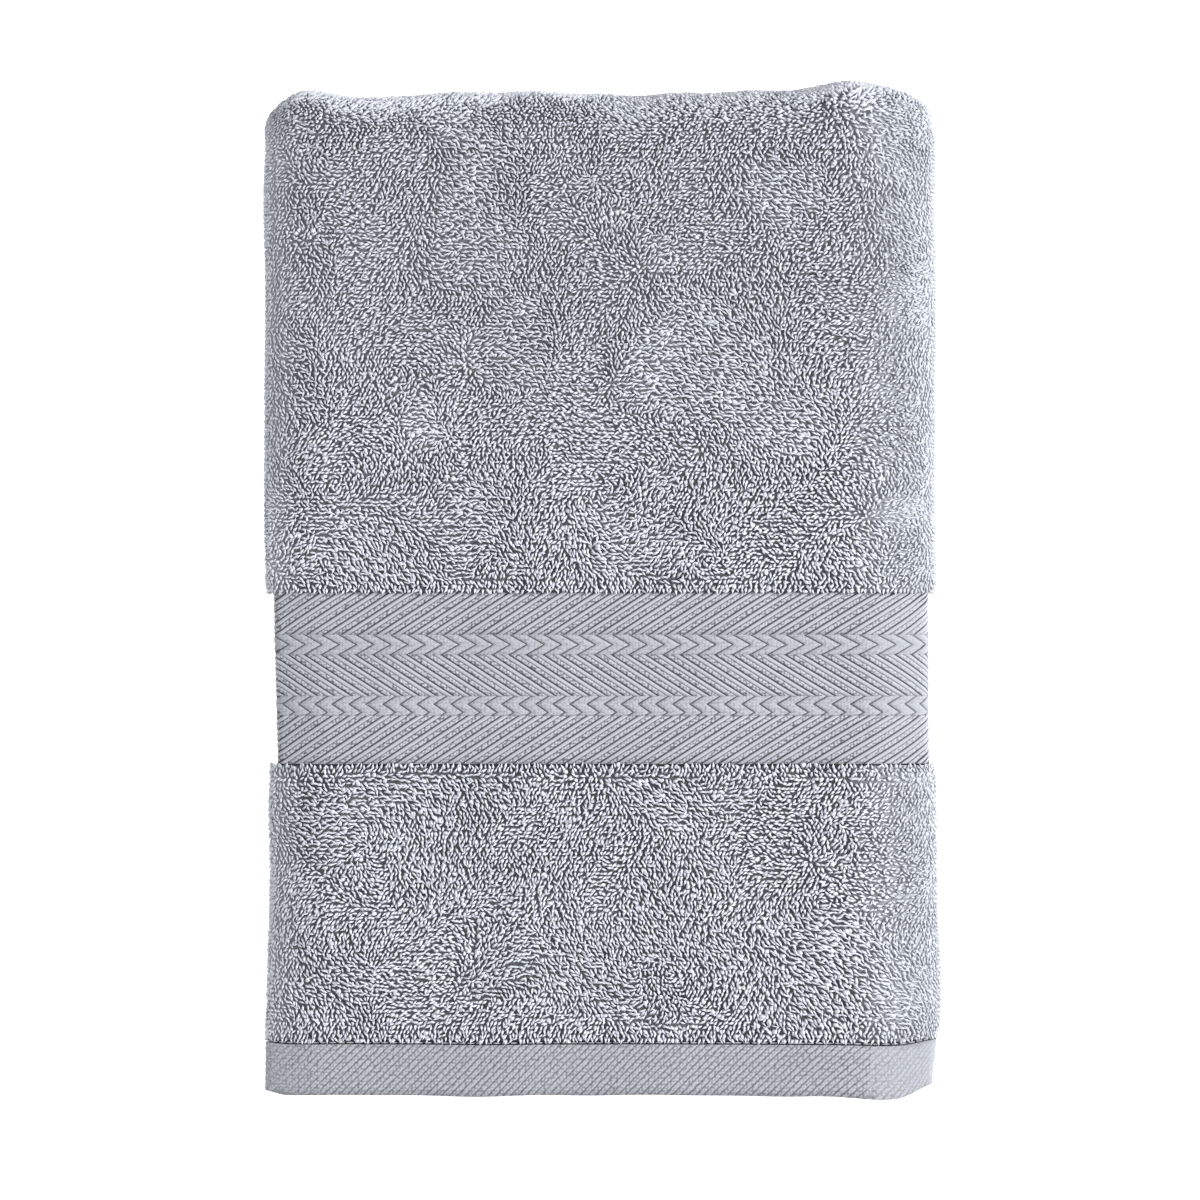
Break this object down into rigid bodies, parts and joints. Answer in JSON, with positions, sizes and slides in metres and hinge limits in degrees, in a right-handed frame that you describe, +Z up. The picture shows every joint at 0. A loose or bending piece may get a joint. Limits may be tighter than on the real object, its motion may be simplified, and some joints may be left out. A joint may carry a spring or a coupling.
{
  "type": "folded bath towel",
  "caption": "Bath towel of looped terry cotton with a woven herringbone border and flat hem, folded in thirds and then twice in half; its upper half opens about the last fold.",
  "frame": {"origin": "centre of the folded towel's box at its base, on the surface that it lies on", "axes": "+Y from the hem end towards the last fold, the longest side; +X across the towel; +Z up through its thickness, the shortest side"},
  "size_m": [0.236, 0.3552, 0.041],
  "materials": {
    "terry": "looped cotton pile, soft grey",
    "border": "flat dobby weave with slanted ribs and two plaited rows, soft grey",
    "hem": "flat diagonal twill turned under, soft grey",
    "selvedge": "flat woven edge, soft grey",
    "thread": "cotton sewing thread, soft grey"
  },
  "bodies": {
    "lower_half": {"bottom_body": "terry", "bottom_inner_selvedge": "selvedge", "bottom_outer_selvedge": "selvedge", "first_fold": "terry", "first_fold_inner_selvedge": "selvedge", "first_fold_outer_selvedge": "selvedge", "inner_fold": "terry", "inner_fold_inner_selvedge": "selvedge", "inner_fold_outer_selvedge": "selvedge", "middle_body": "terry", "middle_inner_selvedge": "selvedge", "middle_outer_selvedge": "selvedge", "outer_fold": "terry", "outer_fold_inner_selvedge": "selvedge", "outer_fold_outer_selvedge": "selvedge"},
    "upper_half": {"back_body": "terry", "back_border": "border", "back_hem": "hem", "back_hem_thread": "thread", "back_inner_selvedge": "selvedge", "back_outer_selvedge": "selvedge", "back_short_pile": "terry", "front_body": "terry", "front_border": "border", "front_hem": "hem", "front_hem_thread": "thread", "front_inner_selvedge": "selvedge", "front_outer_selvedge": "selvedge", "front_short_pile": "terry"}
  },
  "joints": [
    {"name": "last_fold_opening", "type": "hinge", "parent": "lower_half", "child": "upper_half", "pos_m": [0, 0.15712, 0.02053], "axis": [-1, 0, 0], "range_deg": [0, 179.9], "deforming": ["inner_fold", "inner_fold_inner_selvedge", "inner_fold_outer_selvedge", "outer_fold", "outer_fold_inner_selvedge", "outer_fold_outer_selvedge"]}
  ]
}
